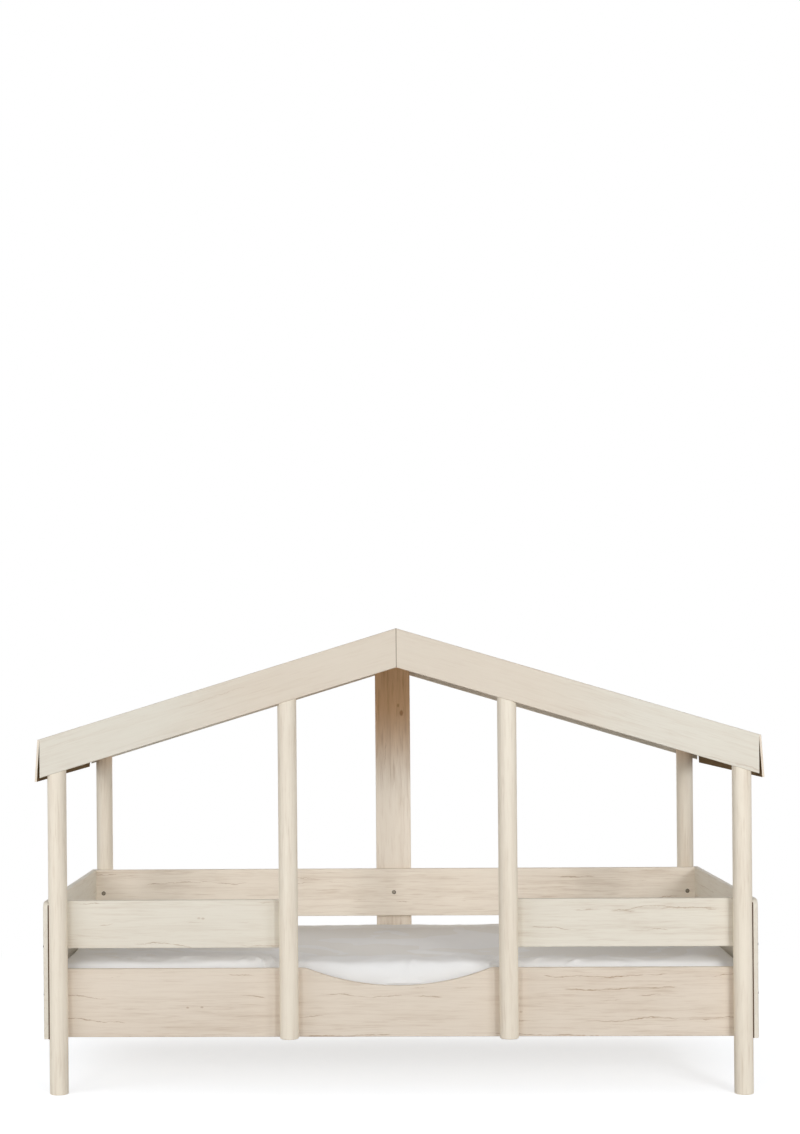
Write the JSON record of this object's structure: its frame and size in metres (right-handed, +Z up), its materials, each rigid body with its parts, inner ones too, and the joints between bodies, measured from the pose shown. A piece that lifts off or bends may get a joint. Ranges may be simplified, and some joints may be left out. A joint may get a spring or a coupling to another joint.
{
  "type": "house frame bed",
  "caption": "Low child's bed framed as a small house, with round posts, guard boards, a scooped entry, a gabled roof and a mattress on slats.",
  "frame": {"origin": "on the floor, under the middle of the bed", "axes": "+X along the mattress to the right as seen from the open front, +Y from the open front to the rear, +Z up"},
  "size_m": [2.101, 1.07, 1.347],
  "materials": {
    "post_wood": "clear matt oil on planed round posts",
    "board_wood": "clear matt oil on planed boards",
    "fascia_wood": "clear matt oil on planed boards",
    "plywood": "sanded thin plywood",
    "frame_wood": "planed softwood",
    "tape": "woven tape",
    "ticking": "woven mattress ticking",
    "sheet": "plain white cotton",
    "bolt_steel": "zinc-plated",
    "zinc_steel": "zinc-plated"
  },
  "bodies": {
    "frame": {"bolts_end_panel": "bolt_steel", "bolts_guard_front": "bolt_steel", "bolts_guard_rear": "bolt_steel", "bolts_rail": "bolt_steel", "eave_board_left": "plywood", "eave_board_right": "plywood", "eave_pins": "zinc_steel", "end_panel_left": "board_wood", "end_panel_right": "board_wood", "fascia_front_left": "fascia_wood", "fascia_front_right": "fascia_wood", "fascia_rear_left": "fascia_wood", "fascia_rear_right": "fascia_wood", "guard_front_left": "board_wood", "guard_front_right": "board_wood", "guard_rear": "board_wood", "ledger_front": "frame_wood", "ledger_rear": "frame_wood", "post_front_left": "post_wood", "post_front_right": "post_wood", "post_mid_left": "post_wood", "post_mid_right": "post_wood", "post_rear_left": "post_wood", "post_rear_right": "post_wood", "rail_front": "board_wood", "rail_rear": "board_wood", "ridge_beam": "frame_wood", "ridge_plate": "plywood", "roof_cleat_front_lower_left": "frame_wood", "roof_cleat_front_lower_right": "frame_wood", "roof_cleat_front_upper_left": "frame_wood", "roof_cleat_front_upper_right": "frame_wood", "roof_cleat_rear_left": "frame_wood", "roof_cleat_rear_right": "frame_wood", "roof_panel_left": "plywood", "roof_panel_right": "plywood", "screws_cleat": "zinc_steel", "screws_ledger": "zinc_steel", "screws_post": "zinc_steel", "screws_ridge_plate": "zinc_steel", "screws_upright": "zinc_steel", "slat_01": "frame_wood", "slat_02": "frame_wood", "slat_03": "frame_wood", "slat_04": "frame_wood", "slat_05": "frame_wood", "slat_06": "frame_wood", "slat_07": "frame_wood", "slat_08": "frame_wood", "slat_09": "frame_wood", "slat_10": "frame_wood", "slat_11": "frame_wood", "slat_12": "frame_wood", "slat_13": "frame_wood", "slat_tape_front": "tape", "slat_tape_rear": "tape", "sleeve_nuts": "zinc_steel", "upright_rear": "board_wood"},
    "mattress": {"mattress": "ticking", "fitted_sheet": "sheet"}
  },
  "joints": [
    {"name": "mattress_lift", "type": "slide", "parent": "frame", "child": "mattress", "axis": [0, 0, 1], "range_m": [0, 0.34]}
  ]
}
